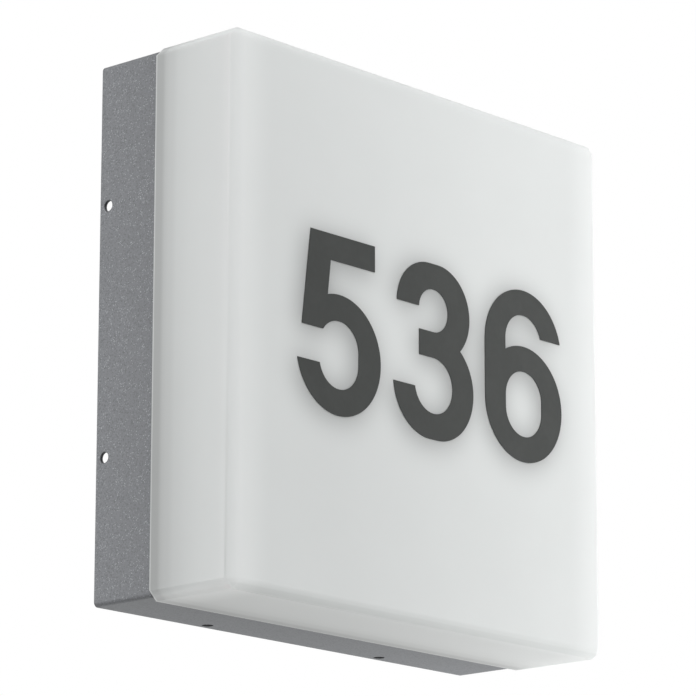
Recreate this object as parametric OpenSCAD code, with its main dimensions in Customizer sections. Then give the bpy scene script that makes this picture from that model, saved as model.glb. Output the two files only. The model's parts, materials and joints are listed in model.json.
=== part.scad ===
// Square outdoor wall light with a number on its opal front.
// Millimetres. The wall is the plane y = 0, the light faces -Y and +Z is up.
// Depths are measured from the wall towards the viewer.

/* [Diffuser] */
// Width and height of the opal diffuser
diffuser_w = 250; // [235:1:320]
// Depth of the diffuser from its rim to its front
diffuser_depth = 49.5; // [40:0.5:80]
// Thickness of the diffuser's walls and front
diffuser_wall = 3; // [2:0.25:4]
// Radius of the diffuser's front edges
diffuser_round = 5; // [4.5:0.5:8]
// How much of each side the diffuser's cut-off corners take
corner_cut = 4.3; // [3.5:0.1:5.5]
// How far the diffuser stands out past the housing on every side
overhang = 1.5; // [0.5:0.25:2]
// Width of the thick rim that bears on the housing
rim_w = 8; // [7.5:0.5:12]
// Depth of the thick rim
rim_depth = 6; // [4:0.5:9]
// Width of the screw block in each corner of the rim
block_w = 14; // [11:0.5:18]
// Depth of the screw blocks
block_depth = 10; // [10:0.5:14]
// Width of the gasket's groove in the rim
groove_w = 2.6; // [2.6:0.1:3]
// Depth of the gasket's groove
groove_depth = 1.6; // [1:0.1:2.5]
// Distance from the rim's inner edge to the groove
groove_inset = 1.2; // [1:0.1:1.6]
// Clearance on each side of the gasket in its groove
gasket_gap = 0.3; // [0.2:0.05:0.5]

/* [Housing] */
// Depth of the steel housing
housing_depth = 35.5; // [34:0.5:60]
// Thickness of the sheet steel
sheet_t = 1.5; // [1:0.25:2]
// Outer radius of the housing's four corners
housing_round = 2.2; // [2.1:0.1:4]
// Diameter of the fixing holes in the four sides
side_hole_d = 5; // [4.6:0.1:6]
// Distance between the two fixing holes of a side
side_hole_pitch = 115; // [100:1:125]
// Distance from the wall edge to the middle of a fixing hole
side_hole_edge = 5; // [4:0.5:7]

/* [Wall bracket] */
// Thickness of the bracket
bracket_t = 2; // [1.5:0.25:3]
// Clearance between the bracket's lugs and the housing
lug_gap = 0.3; // [0.2:0.05:0.6]
// Width of the bracket's two upright rails
rail_w = 24; // [18:1:30]
// Height of the bracket's cross plate
cross_h = 50; // [30:1:60]
// Depth of the bent lugs
lug_depth = 10; // [10:0.5:12]
// Width of the slots for the wall screws
slot_w = 5.5; // [4.5:0.1:6.5]
// Length of the slots for the wall screws
slot_len = 12; // [9:0.5:15]
// Height between the slots of a rail
slot_pitch = 160; // [80:5:190]
// Distance between the two slots of the cross plate
box_slot_pitch = 60; // [50:1:70]

/* [Lock screws] */
// Thread diameter of the lock screws
lock_d = 4; // [3:0.5:4]
// Length of the lock screws
lock_len = 8; // [6:0.5:12]
// How far a lock screw lies back in its lug when the housing is free
lock_recess = 0.2; // [0.1:0.05:0.5]
// Width across the corners of the hexagon socket
socket_d = 2.3; // [1.5:0.1:2.4]
// Depth of the hexagon socket
socket_depth = 2.5; // [1.5:0.1:3]

/* [Screws and washers] */
// Thread diameter of the diffuser screws
diffuser_screw_d = 4; // [3:0.5:5]
// How far the diffuser screws reach into their blocks
diffuser_screw_grip = 8; // [5:0.5:8]
// Thickness of the diffuser screws' washers
washer_t = 1; // [0.6:0.1:1.5]
// Thread diameter of the small screws
small_screw_d = 3; // [2.5:0.5:3.5]
// How far a small screw stands out past the sheet that it is driven into
small_screw_tail = 2; // [1:0.25:3]
// Diameter of a screw head over the diameter of its thread
head_ratio = 1.9; // [1.6:0.1:2.1]
// Height of a screw head over the diameter of its thread
head_height_ratio = 0.65; // [0.5:0.05:0.8]
// Diameter of a washer over the diameter of its screw
washer_ratio = 2.3; // [2.1:0.1:2.5]
// Radial clearance in a thread
thread_gap = 0.05; // [0.02:0.01:0.1]
// Radial clearance round a screw in a plain hole
screw_gap = 0.25; // [0.15:0.05:0.4]

/* [Carrier tray and light source] */
// Thickness of the carrier tray
tray_t = 1; // [0.8:0.1:1.5]
// Height of the tray's upstand
tray_lip = 6; // [4:0.5:10]
// Clearance between the tray and the diffuser's rim
tray_gap = 0.5; // [0.3:0.1:1]
// Width and height of the LED board
board_w = 160; // [150:1:165]
// Thickness of the LED board
board_t = 1.6; // [1:0.1:2]
// Number of LED chips along each side of the board
chips_per_side = 6; // [4:1:7]
// Distance between neighbouring chips
chip_pitch = 26; // [20:0.5:26]
// Width of an LED chip
chip_w = 3; // [2.5:0.1:3.5]
// Thickness of an LED chip
chip_t = 0.7; // [0.5:0.1:1]
// Distance from the board's edge to its screws
board_screw_inset = 6; // [5:0.5:7]
// Length of the board's lead connector
connector_l = 8; // [7:0.5:9]
// Width of the board's lead connector
connector_w = 12; // [10:0.5:14]
// Height of the board's lead connector
connector_h = 5; // [4.5:0.25:6]

/* [Driver] */
// Length of the driver's case
driver_l = 90; // [80:1:95]
// Height of the driver's case, up and down the wall
driver_h = 34; // [30:1:38]
// Depth of the driver with its cover
driver_depth = 22; // [20:0.5:24]
// Thickness of the driver case's walls and cover
driver_wall = 1.5; // [1.2:0.1:2]
// Distance of the driver's middle below the middle of the light
driver_drop = 72; // [70:1:80]
// Distance of the driver's middle to the left of the light's middle
driver_left = 5; // [3:1:8]
// Length of the case's screw ears
ear_l = 9; // [8:0.5:10]
// Thickness of the case's screw ears
ear_t = 2.5; // [2:0.25:3]
// Width of the case's screw ears
ear_w = 14; // [12:0.5:16]
// Thickness of the driver's circuit board
driver_board_t = 1.6; // [1:0.1:2]
// Height of the pillars under the driver's circuit board
pillar_h = 3; // [2:0.25:3.5]
// Diameter of those pillars
pillar_d = 5; // [4:0.5:6]
// Clearance round the driver's circuit board and inside its cover
driver_gap = 0.5; // [0.3:0.1:0.8]
// Height of the transformer
transformer_h = 12; // [9:0.5:12]
// Width and length of the transformer
transformer_w = 18; // [14:0.5:20]
// Diameter of the capacitor
capacitor_d = 10; // [8:0.5:12]
// Height of the capacitor
capacitor_h = 11; // [8:0.5:12]

/* [Terminal box] */
// Width of the terminal box
terminal_w = 66; // [62:1:70]
// Height of the terminal box, up and down the wall
terminal_h = 45; // [43:1:46]
// Depth of the terminal box with its cover
terminal_depth = 22; // [21:0.5:23]
// Thickness of the terminal box's walls
terminal_wall = 1.5; // [1.2:0.1:2]
// Thickness of the cover
cover_t = 2; // [1.6:0.1:2.4]
// Clearance between the closed cover and the box
cover_gap = 0.2; // [0.1:0.05:0.4]
// Height of the box's lower edge above the middle of the light
terminal_rise = 50; // [48:1:54]
// Diameter of the cover's hinge pins
hinge_d = 3; // [2.5:0.25:3.5]
// Radial clearance of the hinge pins
hinge_gap = 0.06; // [0.03:0.01:0.1]
// Thickness of the hinge ears
hinge_ear_t = 3; // [2.5:0.25:4]
// Width of one pole of the terminal block
pole_w = 10; // [9:0.5:11]
// Length of the terminal block along its wires
block_l = 17; // [15:0.5:18]
// Height of the terminal block above the box's floor
block_h = 14; // [12:0.5:14]
// Bore of the terminal clamps
clamp_bore = 3; // [2.5:0.1:3.2]
// Wall of the terminal clamps
clamp_wall = 0.8; // [0.6:0.1:1]
// Diameter of the terminal screws
terminal_screw_d = 3; // [2.5:0.1:3]
// Outer diameter of the cable grommet
grommet_d = 14; // [12:0.5:15]
// Bore of the cable grommet
grommet_bore = 7.5; // [6:0.5:8]
// Length of the cable grommet
grommet_l = 6; // [5:0.5:7]
// Width of the cord clamp's bar
clamp_bar_w = 5; // [4:0.5:6]
// Thickness of the cord clamp's bar
clamp_bar_t = 2; // [1.5:0.25:2.5]
// Clearance between the cord clamp's bar and a supply cable
clamp_bar_gap = 0.5; // [0.25:0.25:1]

/* [Wiring] */
// Diameter of the leads over their insulation
lead_d = 1.8; // [1.4:0.1:2]
// Distance between leads that run side by side
lead_pitch = 2.7; // [2.4:0.1:3]
// Clearance round a lead in a hole
lead_gap = 0.25; // [0.15:0.05:0.4]
// Outer diameter of the lead grommet
lead_grommet_d = 10; // [9:0.5:11]
// Distance of the lead grommet to the left of the light's middle
lead_grommet_left = 98; // [96:0.5:100]
// Diameter of the earth stud
earth_d = 4; // [3:0.5:5]
// Length of the earth stud
earth_l = 12; // [9:0.5:14]
// Distance of the earth stud to the right of the light's middle
earth_right = 64; // [62:1:70]
// Thickness of the earth lug
earth_lug_t = 0.8; // [0.6:0.1:1]
// Thickness of the earth nut
earth_nut_t = 3.2; // [2.4:0.1:4]

/* [Number] */
// Height of the digits
digit_h = 82; // [70:1:100]
// Width of the digits
digit_w = 55; // [50:1:60]
// Distance from one digit to the next
digit_pitch = 63.5; // [62:0.5:70]
// Thickness of the digits' strokes across the top and bottom
bar_w = 12; // [9:0.5:13]
// Thickness of the digits' upright strokes
stem_w = 14.6; // [11:0.2:16]
// Thickness of the film that the digits are cut from
film_t = 0.3; // [0.2:0.05:0.5]
// Distance of the number to the right of the diffuser's middle
number_right = 5; // [-10:1:10]
// Distance of the number above the diffuser's middle
number_up = 1; // [-10:1:10]

/* [Hidden] */
$fn = 64;

// How far a cutting shape runs past what it cuts
overcut = 1;
// Smallest radius of an inner corner
least_round = 0.3;
// How far the screws stop short of the panel's front and of the ends of blind holes
tip_gap = 0.5;
// Overhang of the grommets' flanges on their necks
flange_lip = 1;
sides = [-1, 1];

// Widths and depths of the main shells
housing_w = diffuser_w - 2 * overhang;
housing_inner = housing_w - 2 * sheet_t;
panel_rear = housing_depth - sheet_t;
panel_front = housing_depth;
front = panel_front + diffuser_depth;
rim_half = diffuser_w / 2 - rim_w;
// The cut-off corners end in a slightly tighter round than the sides
corner_round = 0.8 * diffuser_round;
groove_half = rim_half + groove_inset;

// The bracket's lugs and what they hold
lug_out = housing_inner / 2 - lug_gap;
lock_out = lug_out - lock_recess;

// Tray, board and connector, from the panel forwards
tray_half = rim_half - tray_gap;
tray_straight = tray_half - block_w;
tray_front = panel_front + tray_t;
board_front = tray_front + board_t;
board_screw_at = board_w / 2 - board_screw_inset;
connector_left = board_w / 2 - board_screw_inset / 2;
connector_depth = board_front + connector_h / 2;
lead_hole_r = lead_grommet_d / 2 - flange_lip;

// Diffuser screws
diffuser_screw_at = rim_half - block_w / 2;
diffuser_screw_reach = washer_t + sheet_t + diffuser_screw_grip;

// Driver
driver_rear = panel_rear - driver_depth;
driver_cover_front = driver_rear + driver_wall;
driver_floor = panel_rear - driver_wall;
driver_board_rear = driver_floor - pillar_h - driver_board_t;
driver_x = -driver_left;
driver_z = -driver_drop;
driver_right_end = driver_x + driver_l / 2;
driver_left_end = driver_x - driver_l / 2;
driver_lead_depth = panel_rear - ear_t - small_screw_d * head_height_ratio - 3 * lead_d;
driver_lead_half = 1.5 * lead_pitch;
driver_board_l = driver_l - 2 * driver_wall - 2 * driver_gap;
driver_board_h = driver_h - 2 * driver_wall - 2 * driver_gap;

// Terminal box
terminal_rear = panel_rear - terminal_depth;
terminal_cover_front = terminal_rear + cover_t;
terminal_base_rear = terminal_cover_front + cover_gap;
terminal_floor = panel_rear - terminal_wall;
terminal_top = terminal_rise + terminal_h;
terminal_z = terminal_rise + terminal_h / 2;
hinge_round = hinge_d;
hinge_rise = 0.5;
hinge_z = terminal_top + hinge_round + hinge_rise;
hinge_depth = terminal_rear + cover_t / 2;
hinge_ear_x = terminal_w / 2 - hinge_ear_t;
tongue_half = hinge_ear_x - cover_gap - hinge_gap;
block_rear = terminal_floor - block_h;
// Share of the block's height at which the wires go in
wire_share = 0.4;
block_wire_depth = terminal_floor - wire_share * block_h;
// Three leads cross above the block, with room for their bends
lead_room = 4.5 * lead_pitch;
block_top = terminal_top - terminal_wall - lead_room;
block_bottom = block_top - block_l;
clamp_d = clamp_bore + 2 * clamp_wall;
clamp_inset = 1.5;
grommet_depth = terminal_floor - grommet_d / 2 - terminal_wall;
grommet_neck = grommet_d - 3 * flange_lip;
clamp_bar_z = (terminal_rise + terminal_wall + grommet_l / 2 + block_bottom) / 2;
clamp_bar_front = grommet_depth - grommet_bore / 2 - clamp_bar_gap;
clamp_post_x = grommet_bore / 2 + 2 * small_screw_d;
clamp_post_d = 2.2 * small_screw_d;
box_screw_x = terminal_w / 2 - terminal_wall - small_screw_d * (head_ratio / 2 + 1 / 3);
box_screw_z = terminal_rise + terminal_wall + small_screw_d * head_ratio;

// Leads leave the terminal block one above the other
lead_depth = block_wire_depth;
earth_z = terminal_top - terminal_wall - lead_d;
neutral_z = earth_z - lead_pitch;
live_z = neutral_z - lead_pitch;
live_x = (driver_right_end + ear_l + earth_right) / 2 - 2 * lead_pitch;
lead_bend = 2.5 * lead_d;
// Largest share of a straight run that the bend at one end may take
bend_share = 0.45;
lug_round = 1.2 * earth_d;
lug_neck = 1.2 * lug_round;
lug_end_x = earth_right - lug_round - lug_neck;
earth_barrel_r = lead_d / 2 + earth_lug_t;
earth_barrel_depth = panel_rear - earth_barrel_r;

// A solid between two depths from a flat outline
module between(near, far) {
    translate([0, -near, 0]) rotate([90, 0, 0]) linear_extrude(height = far - near) children();
}

// Things that stand on a sheet, turned to face the room or the wall
module facing_room(x, depth, z) {
    translate([x, -depth, z]) rotate([90, 0, 0]) children();
}

module facing_wall(x, depth, z) {
    translate([x, -depth, z]) rotate([-90, 0, 0]) children();
}

module at_corners(half) {
    for (x = sides, z = sides) translate([x * half, z * half]) children();
}

module rounded_square(w, r) {
    square([w - 2 * r, w], center = true);
    square([w, w - 2 * r], center = true);
    at_corners(w / 2 - r) circle(r);
}

module slot(len, w) {
    square([len - w, w], center = true);
    for (x = sides) translate([x * (len - w) / 2, 0]) circle(w / 2);
}

// A square with its corners cut off at 45 degrees
module cut_square(w, cut) {
    intersection() {
        square(w, center = true);
        rotate(45) square(sqrt(2) * (w - cut), center = true);
    }
}

// A screw whose head stands on z = 0 and whose shank points down
module pan_screw(d, reach) {
    head_d = head_ratio * d;
    head_h = head_height_ratio * d;
    difference() {
        union() {
            cylinder(d = head_d, h = head_h);
            translate([0, 0, -reach]) cylinder(d = d, h = reach);
        }
        for (turn = [0, 90]) rotate([0, 0, turn])
            translate([-head_d / 3, -head_h / 6, head_h / 2]) cube([head_d / 1.5, head_h / 3, head_h]);
    }
}

module washer(inner_d, outer_d, t) {
    difference() {
        cylinder(d = outer_d, h = t);
        translate([0, 0, -overcut]) cylinder(d = inner_d, h = t + 2 * overcut);
    }
}

// The steel bracket on the wall
module wall_bracket() {
    color("gainsboro") difference() {
        union() {
            between(0, bracket_t) {
                for (x = sides) translate([x * side_hole_pitch / 2, 0])
                    square([rail_w, 2 * lug_out], center = true);
                square([side_hole_pitch + rail_w, cross_h], center = true);
            }
            for (x = sides, z = sides)
                translate([x * side_hole_pitch / 2, -lug_depth / 2, z * (lug_out - bracket_t / 2)])
                    cube([rail_w, lug_depth, bracket_t], center = true);
        }
        for (x = sides) translate([x * side_hole_pitch / 2, -side_hole_edge, -lug_out - overcut])
            cylinder(r = lock_d / 2 + thread_gap, h = 2 * lug_out + 2 * overcut);
        between(-overcut, bracket_t + overcut) {
            for (x = sides, z = sides) translate([x * side_hole_pitch / 2, z * slot_pitch / 2])
                slot(slot_len, slot_w);
            for (x = sides) translate([x * box_slot_pitch / 2, 0]) slot(slot_len, slot_w);
        }
    }
}

// A set screw in a lug, turned out through the housing's hole to lock it
module lock_screw(x, z) {
    point_h = lock_d / 4;
    color("silver") translate([x * side_hole_pitch / 2, -side_hole_edge, 0])
        rotate([z > 0 ? 0 : 180, 0, 0]) translate([0, 0, lock_out - lock_len]) difference() {
            union() {
                cylinder(d1 = lock_d - 2 * point_h, d2 = lock_d, h = point_h);
                translate([0, 0, point_h]) cylinder(d = lock_d, h = lock_len - point_h);
            }
            translate([0, 0, lock_len - socket_depth])
                cylinder(d = socket_d, h = socket_depth + overcut, $fn = 6);
        }
}

module lock_screw_top_left() {
    lock_screw(-1, 1);
}

module lock_screw_top_right() {
    lock_screw(1, 1);
}

module lock_screw_bottom_left() {
    lock_screw(-1, -1);
}

module lock_screw_bottom_right() {
    lock_screw(1, -1);
}

// The steel box, open at the wall
module housing() {
    color("slategray") difference() {
        between(0, housing_depth) rounded_square(housing_w, housing_round);
        between(-overcut, panel_rear)
            rounded_square(housing_inner, max(housing_round - sheet_t, least_round));
        for (turn = [0 : 90 : 270], x = sides) rotate([0, turn, 0])
            translate([x * side_hole_pitch / 2, -side_hole_edge, housing_inner / 2 - overcut])
                cylinder(d = side_hole_d, h = sheet_t + 2 * overcut);
        between(panel_rear - overcut, panel_front + overcut) {
            at_corners(diffuser_screw_at) circle(diffuser_screw_d / 2 + screw_gap);
            at_corners(board_screw_at) circle(small_screw_d / 2 + thread_gap);
            translate([-lead_grommet_left, 0]) circle(lead_hole_r);
            for (x = sides) {
                translate([driver_x + x * (driver_l + ear_l) / 2, driver_z])
                    circle(small_screw_d / 2 + thread_gap);
                translate([x * box_screw_x, box_screw_z]) circle(small_screw_d / 2 + thread_gap);
            }
        }
    }
}

// The white tray that carries the light source
module carrier_tray() {
    color("whitesmoke") difference() {
        union() {
            between(panel_front, tray_front) {
                square([2 * tray_half, 2 * tray_straight], center = true);
                square([2 * tray_straight, 2 * tray_half], center = true);
            }
            for (turn = [0 : 90 : 270]) rotate([0, turn, 0])
                translate([-tray_straight, -panel_front - tray_lip, tray_half - tray_t])
                    cube([2 * tray_straight, tray_lip, tray_t]);
        }
        between(panel_front - overcut, tray_front + overcut) {
            at_corners(board_screw_at) circle(small_screw_d / 2 + screw_gap);
            translate([-lead_grommet_left, 0]) circle(lead_hole_r);
        }
    }
}

module led_board() {
    color("white") difference() {
        between(tray_front, board_front) square(board_w, center = true);
        between(tray_front - overcut, board_front + overcut)
            at_corners(board_screw_at) circle(small_screw_d / 2 + screw_gap);
    }
}

module led_chips() {
    first = -(chips_per_side - 1) * chip_pitch / 2;
    color("khaki") between(board_front, board_front + chip_t)
        for (i = [0 : chips_per_side - 1], j = [0 : chips_per_side - 1])
            translate([first + i * chip_pitch, first + j * chip_pitch]) square(chip_w, center = true);
}

module board_screws() {
    reach = board_t + tray_t + sheet_t + small_screw_tail;
    color("silver") for (x = sides, z = sides)
        facing_room(x * board_screw_at, board_front, z * board_screw_at)
            pan_screw(small_screw_d, reach);
}

// Push-in connector where the two leads meet the board
module board_connector() {
    color("ivory") translate([-connector_left, -board_front - connector_h, -connector_w / 2])
        cube([connector_l, connector_h, connector_w]);
}

// Grommet that takes the two leads through the panel and the tray
module lead_grommet() {
    flange_t = 1;
    color("dimgray") facing_room(-lead_grommet_left, panel_rear - flange_t, 0) difference() {
        union() {
            cylinder(d = lead_grommet_d, h = flange_t);
            cylinder(r = lead_hole_r - thread_gap, h = 2 * flange_t + sheet_t + tray_t);
            translate([0, 0, flange_t + sheet_t + tray_t]) cylinder(d = lead_grommet_d, h = flange_t);
        }
        for (side = sides) translate([side * lead_pitch / 2, side * lead_pitch / 2, -overcut])
            cylinder(r = lead_d / 2 + lead_gap, h = 2 * flange_t + sheet_t + tray_t + 2 * overcut);
    }
}

// The driver's case, open towards the wall
module driver_case() {
    inner_l = driver_l - 2 * driver_wall;
    inner_h = driver_h - 2 * driver_wall;
    color("gray") difference() {
        translate([driver_x, 0, driver_z]) {
            difference() {
                union() {
                    between(driver_cover_front, panel_rear) square([driver_l, driver_h], center = true);
                    between(panel_rear - ear_t, panel_rear)
                        square([driver_l + 2 * ear_l, ear_w], center = true);
                }
                between(driver_cover_front - overcut, driver_floor)
                    square([inner_l, inner_h], center = true);
            }
            for (x = sides, z = sides)
                facing_wall(x * (inner_l / 2 - pillar_d), driver_floor, z * (inner_h / 2 - pillar_d))
                    cylinder(d = pillar_d, h = pillar_h);
        }
        for (x = sides) translate([driver_x + x * (driver_l + ear_l) / 2, -panel_rear, driver_z])
            rotate([90, 0, 0]) cylinder(r = small_screw_d / 2 + screw_gap, h = 4 * ear_t, center = true);
        for (z = sides) translate([driver_x, -driver_lead_depth, driver_z + z * driver_lead_half])
            rotate([0, 90, 0]) cylinder(r = lead_d / 2 + lead_gap, h = driver_l + overcut, center = true);
    }
}

module driver_cover() {
    lip_gap = driver_gap / 2;
    lip_h = 2;
    color("darkgray") translate([driver_x, 0, driver_z]) {
        between(driver_rear, driver_cover_front) square([driver_l, driver_h], center = true);
        between(driver_cover_front, driver_cover_front + lip_h) difference() {
            square([driver_board_l + lip_gap, driver_board_h + lip_gap], center = true);
            square([driver_board_l - 2 * driver_wall, driver_board_h - 2 * driver_wall], center = true);
        }
    }
}

module driver_board() {
    color("darkgreen") translate([driver_x, 0, driver_z])
        between(driver_board_rear, driver_floor - pillar_h)
            square([driver_board_l, driver_board_h], center = true);
}

module driver_transformer() {
    color("goldenrod") translate([driver_x, 0, driver_z])
        between(driver_board_rear - transformer_h, driver_board_rear)
            square(transformer_w, center = true);
}

module driver_capacitor() {
    color("midnightblue") facing_wall(driver_x + driver_l / 4, driver_board_rear, driver_z)
        cylinder(d = capacitor_d, h = capacitor_h);
}

module driver_screws() {
    color("silver") for (x = sides)
        facing_wall(driver_x + x * (driver_l + ear_l) / 2, panel_rear - ear_t, driver_z)
            pan_screw(small_screw_d, ear_t + sheet_t - tip_gap);
}

// The terminal box, open towards the wall, with the ears of its hinge
module terminal_base() {
    color("whitesmoke") difference() {
        union() {
            translate([0, 0, terminal_z]) difference() {
                between(terminal_base_rear, panel_rear) square([terminal_w, terminal_h], center = true);
                between(terminal_base_rear - overcut, terminal_floor)
                    square([terminal_w - 2 * terminal_wall, terminal_h - 2 * terminal_wall], center = true);
            }
            for (x = sides) translate([x * (hinge_ear_x + hinge_ear_t / 2), 0, 0]) {
                translate([0, -hinge_depth, hinge_z]) rotate([0, 90, 0])
                    cylinder(r = hinge_round, h = hinge_ear_t, center = true);
                translate([-hinge_ear_t / 2, -terminal_base_rear - 2 * hinge_round, terminal_top - hinge_rise])
                    cube([hinge_ear_t, 2 * hinge_round, hinge_z - terminal_top + hinge_rise]);
            }
            for (x = sides) facing_wall(x * clamp_post_x, terminal_floor, clamp_bar_z)
                cylinder(d = clamp_post_d, h = terminal_floor - clamp_bar_front);
        }
        translate([0, -hinge_depth, hinge_z]) rotate([0, 90, 0])
            cylinder(r = hinge_d / 2 + hinge_gap, h = terminal_w + overcut, center = true);
        translate([0, -grommet_depth, terminal_rise - overcut])
            cylinder(d = grommet_neck, h = terminal_wall + 2 * overcut);
        for (z = [earth_z, neutral_z, live_z]) translate([terminal_w / 2, -lead_depth, z])
            rotate([0, 90, 0]) cylinder(r = lead_d / 2 + lead_gap, h = 4 * terminal_wall, center = true);
        for (x = sides) {
            facing_wall(x * clamp_post_x, terminal_floor - terminal_wall, clamp_bar_z)
                cylinder(r = small_screw_d / 2 + thread_gap, h = terminal_depth);
            facing_wall(x * box_screw_x, panel_rear + overcut, box_screw_z)
                cylinder(r = small_screw_d / 2 + screw_gap, h = terminal_wall + 2 * overcut);
        }
    }
}

// The cover, hung from its two pins
module terminal_cover() {
    color("lightgray") {
        translate([0, 0, terminal_z]) between(terminal_rear, terminal_cover_front)
            square([terminal_w, terminal_h], center = true);
        translate([-tongue_half, -terminal_cover_front, terminal_top - overcut])
            cube([2 * tongue_half, cover_t, hinge_z - terminal_top + overcut]);
        translate([0, -hinge_depth, hinge_z]) rotate([0, 90, 0]) {
            cylinder(r = hinge_d / 2 + cover_gap, h = 2 * tongue_half, center = true);
            cylinder(d = hinge_d, h = terminal_w, center = true);
        }
    }
}

// Three poles, open at both ends for the wires and at the rear for the screws
module terminal_block() {
    color("ivory") difference() {
        translate([-1.5 * pole_w, -terminal_floor, block_bottom]) cube([3 * pole_w, block_h, block_l]);
        for (pole = [-1 : 1]) {
            translate([pole * pole_w, -block_wire_depth, block_bottom - overcut])
                cylinder(d = clamp_d + 2 * thread_gap, h = block_l + 2 * overcut);
            for (z = sides) facing_wall(pole * pole_w, block_wire_depth, (block_bottom + block_top) / 2
                + z * block_l / 4) cylinder(d = terminal_screw_d + 4 * thread_gap, h = block_h);
        }
    }
}

module terminal_clamps() {
    color("goldenrod") for (pole = [-1 : 1]) difference() {
        translate([pole * pole_w, -block_wire_depth, block_bottom + clamp_inset])
            cylinder(d = clamp_d, h = block_l - 2 * clamp_inset);
        translate([pole * pole_w, -block_wire_depth, block_bottom])
            cylinder(d = clamp_bore, h = block_l);
        for (z = sides) facing_wall(pole * pole_w, block_wire_depth, (block_bottom + block_top) / 2
            + z * block_l / 4) cylinder(r = terminal_screw_d / 2 + thread_gap, h = clamp_d);
    }
}

module terminal_screws() {
    length = block_wire_depth - block_rear - clamp_bore / 2;
    slot_w = terminal_screw_d / 6;
    color("silver") for (pole = [-1 : 1], z = sides)
        facing_wall(pole * pole_w, block_rear + length, (block_bottom + block_top) / 2 + z * block_l / 4)
            difference() {
                cylinder(d = terminal_screw_d, h = length);
                translate([-terminal_screw_d, -slot_w / 2, length - 2 * slot_w])
                    cube([2 * terminal_screw_d, slot_w, 2 * slot_w + overcut]);
            }
}

module terminal_box_screws() {
    color("silver") for (x = sides) facing_wall(x * box_screw_x, terminal_floor, box_screw_z)
        pan_screw(small_screw_d, terminal_wall + sheet_t - tip_gap);
}

// Rubber ring in the box's lower wall, where the supply cable goes in
module cable_grommet() {
    flange_t = (grommet_l - terminal_wall) / 2;
    color("dimgray") translate([0, -grommet_depth, terminal_rise - flange_t]) difference() {
        union() {
            cylinder(d = grommet_d, h = flange_t);
            cylinder(d = grommet_neck - 2 * thread_gap, h = grommet_l);
            translate([0, 0, flange_t + terminal_wall]) cylinder(d = grommet_d, h = flange_t);
        }
        translate([0, 0, -overcut]) cylinder(d = grommet_bore, h = grommet_l + 2 * overcut);
    }
}

module cord_clamp() {
    half = clamp_post_x + clamp_post_d / 2;
    color("ivory") difference() {
        translate([-half, -clamp_bar_front, clamp_bar_z - clamp_bar_w / 2])
            cube([2 * half, clamp_bar_t, clamp_bar_w]);
        for (x = sides) facing_wall(x * clamp_post_x, clamp_bar_front + overcut, clamp_bar_z)
            cylinder(r = small_screw_d / 2 + screw_gap, h = clamp_bar_t + 2 * overcut);
    }
}

module cord_clamp_screws() {
    color("silver") for (x = sides)
        facing_wall(x * clamp_post_x, clamp_bar_front - clamp_bar_t, clamp_bar_z)
            pan_screw(small_screw_d, clamp_bar_t + 2 * small_screw_d);
}

// A round lead that runs straight between its corners and bends round each, given as [x, depth, z]
function placed(p) = [p[0], -p[1], p[2]];
function unit(v) = v / norm(v);
function bent(a, c, b, steps) = let (
    start = c + unit(a - c) * min(lead_bend, bend_share * norm(a - c)),
    stop = c + unit(b - c) * min(lead_bend, bend_share * norm(b - c))
) [for (k = [0 : steps]) let (t = k / steps)
    (1 - t) * (1 - t) * start + 2 * t * (1 - t) * c + t * t * stop];
function rounded_route(p, steps) = let (n = len(p) - 1)
    concat([p[0]], [for (i = [1 : n - 1]) each bent(p[i - 1], p[i], p[i + 1], steps)], [p[n]]);

module lead(route) {
    turns = 8;
    path = rounded_route([for (p = route) placed(p)], 5);
    last = len(path) - 1;
    along = [for (i = [0 : last]) i == 0 ? unit(path[1] - path[0])
        : i == last ? unit(path[last] - path[last - 1])
        : unit(unit(path[i + 1] - path[i]) + unit(path[i] - path[i - 1]))];
    across = [for (i = 0, a = unit(cross(along[0], [0.3, 0.5, 0.8])); i <= last; i = i + 1,
        a = i <= last ? unit(a - along[i] * (a * along[i])) : a) a];
    rings = [for (i = [0 : last], k = [0 : turns - 1]) path[i] + lead_d / 2
        * (across[i] * cos(k * 360 / turns) + cross(along[i], across[i]) * sin(k * 360 / turns))];
    walls = [for (i = [0 : last - 1], k = [0 : turns - 1]) let (n = (k + 1) % turns)
        each [[i * turns + k, i * turns + turns + n, i * turns + n],
            [i * turns + k, i * turns + turns + k, i * turns + turns + n]]];
    near_end = [for (k = [1 : turns - 2]) [0, k, k + 1]];
    far_end = [for (k = [1 : turns - 2]) [0, k + 1, k] + last * turns * [1, 1, 1]];
    polyhedron(points = rings, faces = concat(near_end, walls, far_end));
}

module supply_lead(pole, x, z, driver_end_z) {
    lead([
        [pole * pole_w, lead_depth, block_top], [pole * pole_w, lead_depth, z], [x, lead_depth, z],
        [x, driver_lead_depth, driver_end_z], [driver_right_end, driver_lead_depth, driver_end_z]
    ]);
}

module live_lead() {
    color("saddlebrown") supply_lead(1, live_x, live_z, driver_z + driver_lead_half);
}

module neutral_lead() {
    color("royalblue") supply_lead(0, live_x + lead_pitch, neutral_z, driver_z - driver_lead_half);
}

module earth_lead() {
    color("yellowgreen") lead([
        [-pole_w, lead_depth, block_top], [-pole_w, lead_depth, earth_z],
        [terminal_w / 2 + 2 * lead_bend, lead_depth, earth_z],
        [lug_end_x - lead_bend, earth_barrel_depth, earth_z], [lug_end_x, earth_barrel_depth, earth_z]
    ]);
}

module led_lead(side) {
    x = -lead_grommet_left + side * lead_pitch / 2;
    z = side * lead_pitch / 2;
    driver_end_z = driver_z + side * driver_lead_half;
    lead([
        [driver_left_end, driver_lead_depth, driver_end_z], [x, driver_lead_depth, driver_end_z],
        [x, driver_lead_depth, z], [x, connector_depth, z], [-connector_left, connector_depth, z]
    ]);
}

module led_lead_positive() {
    color("firebrick") led_lead(1);
}

module led_lead_negative() {
    color("black") led_lead(-1);
}

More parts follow.
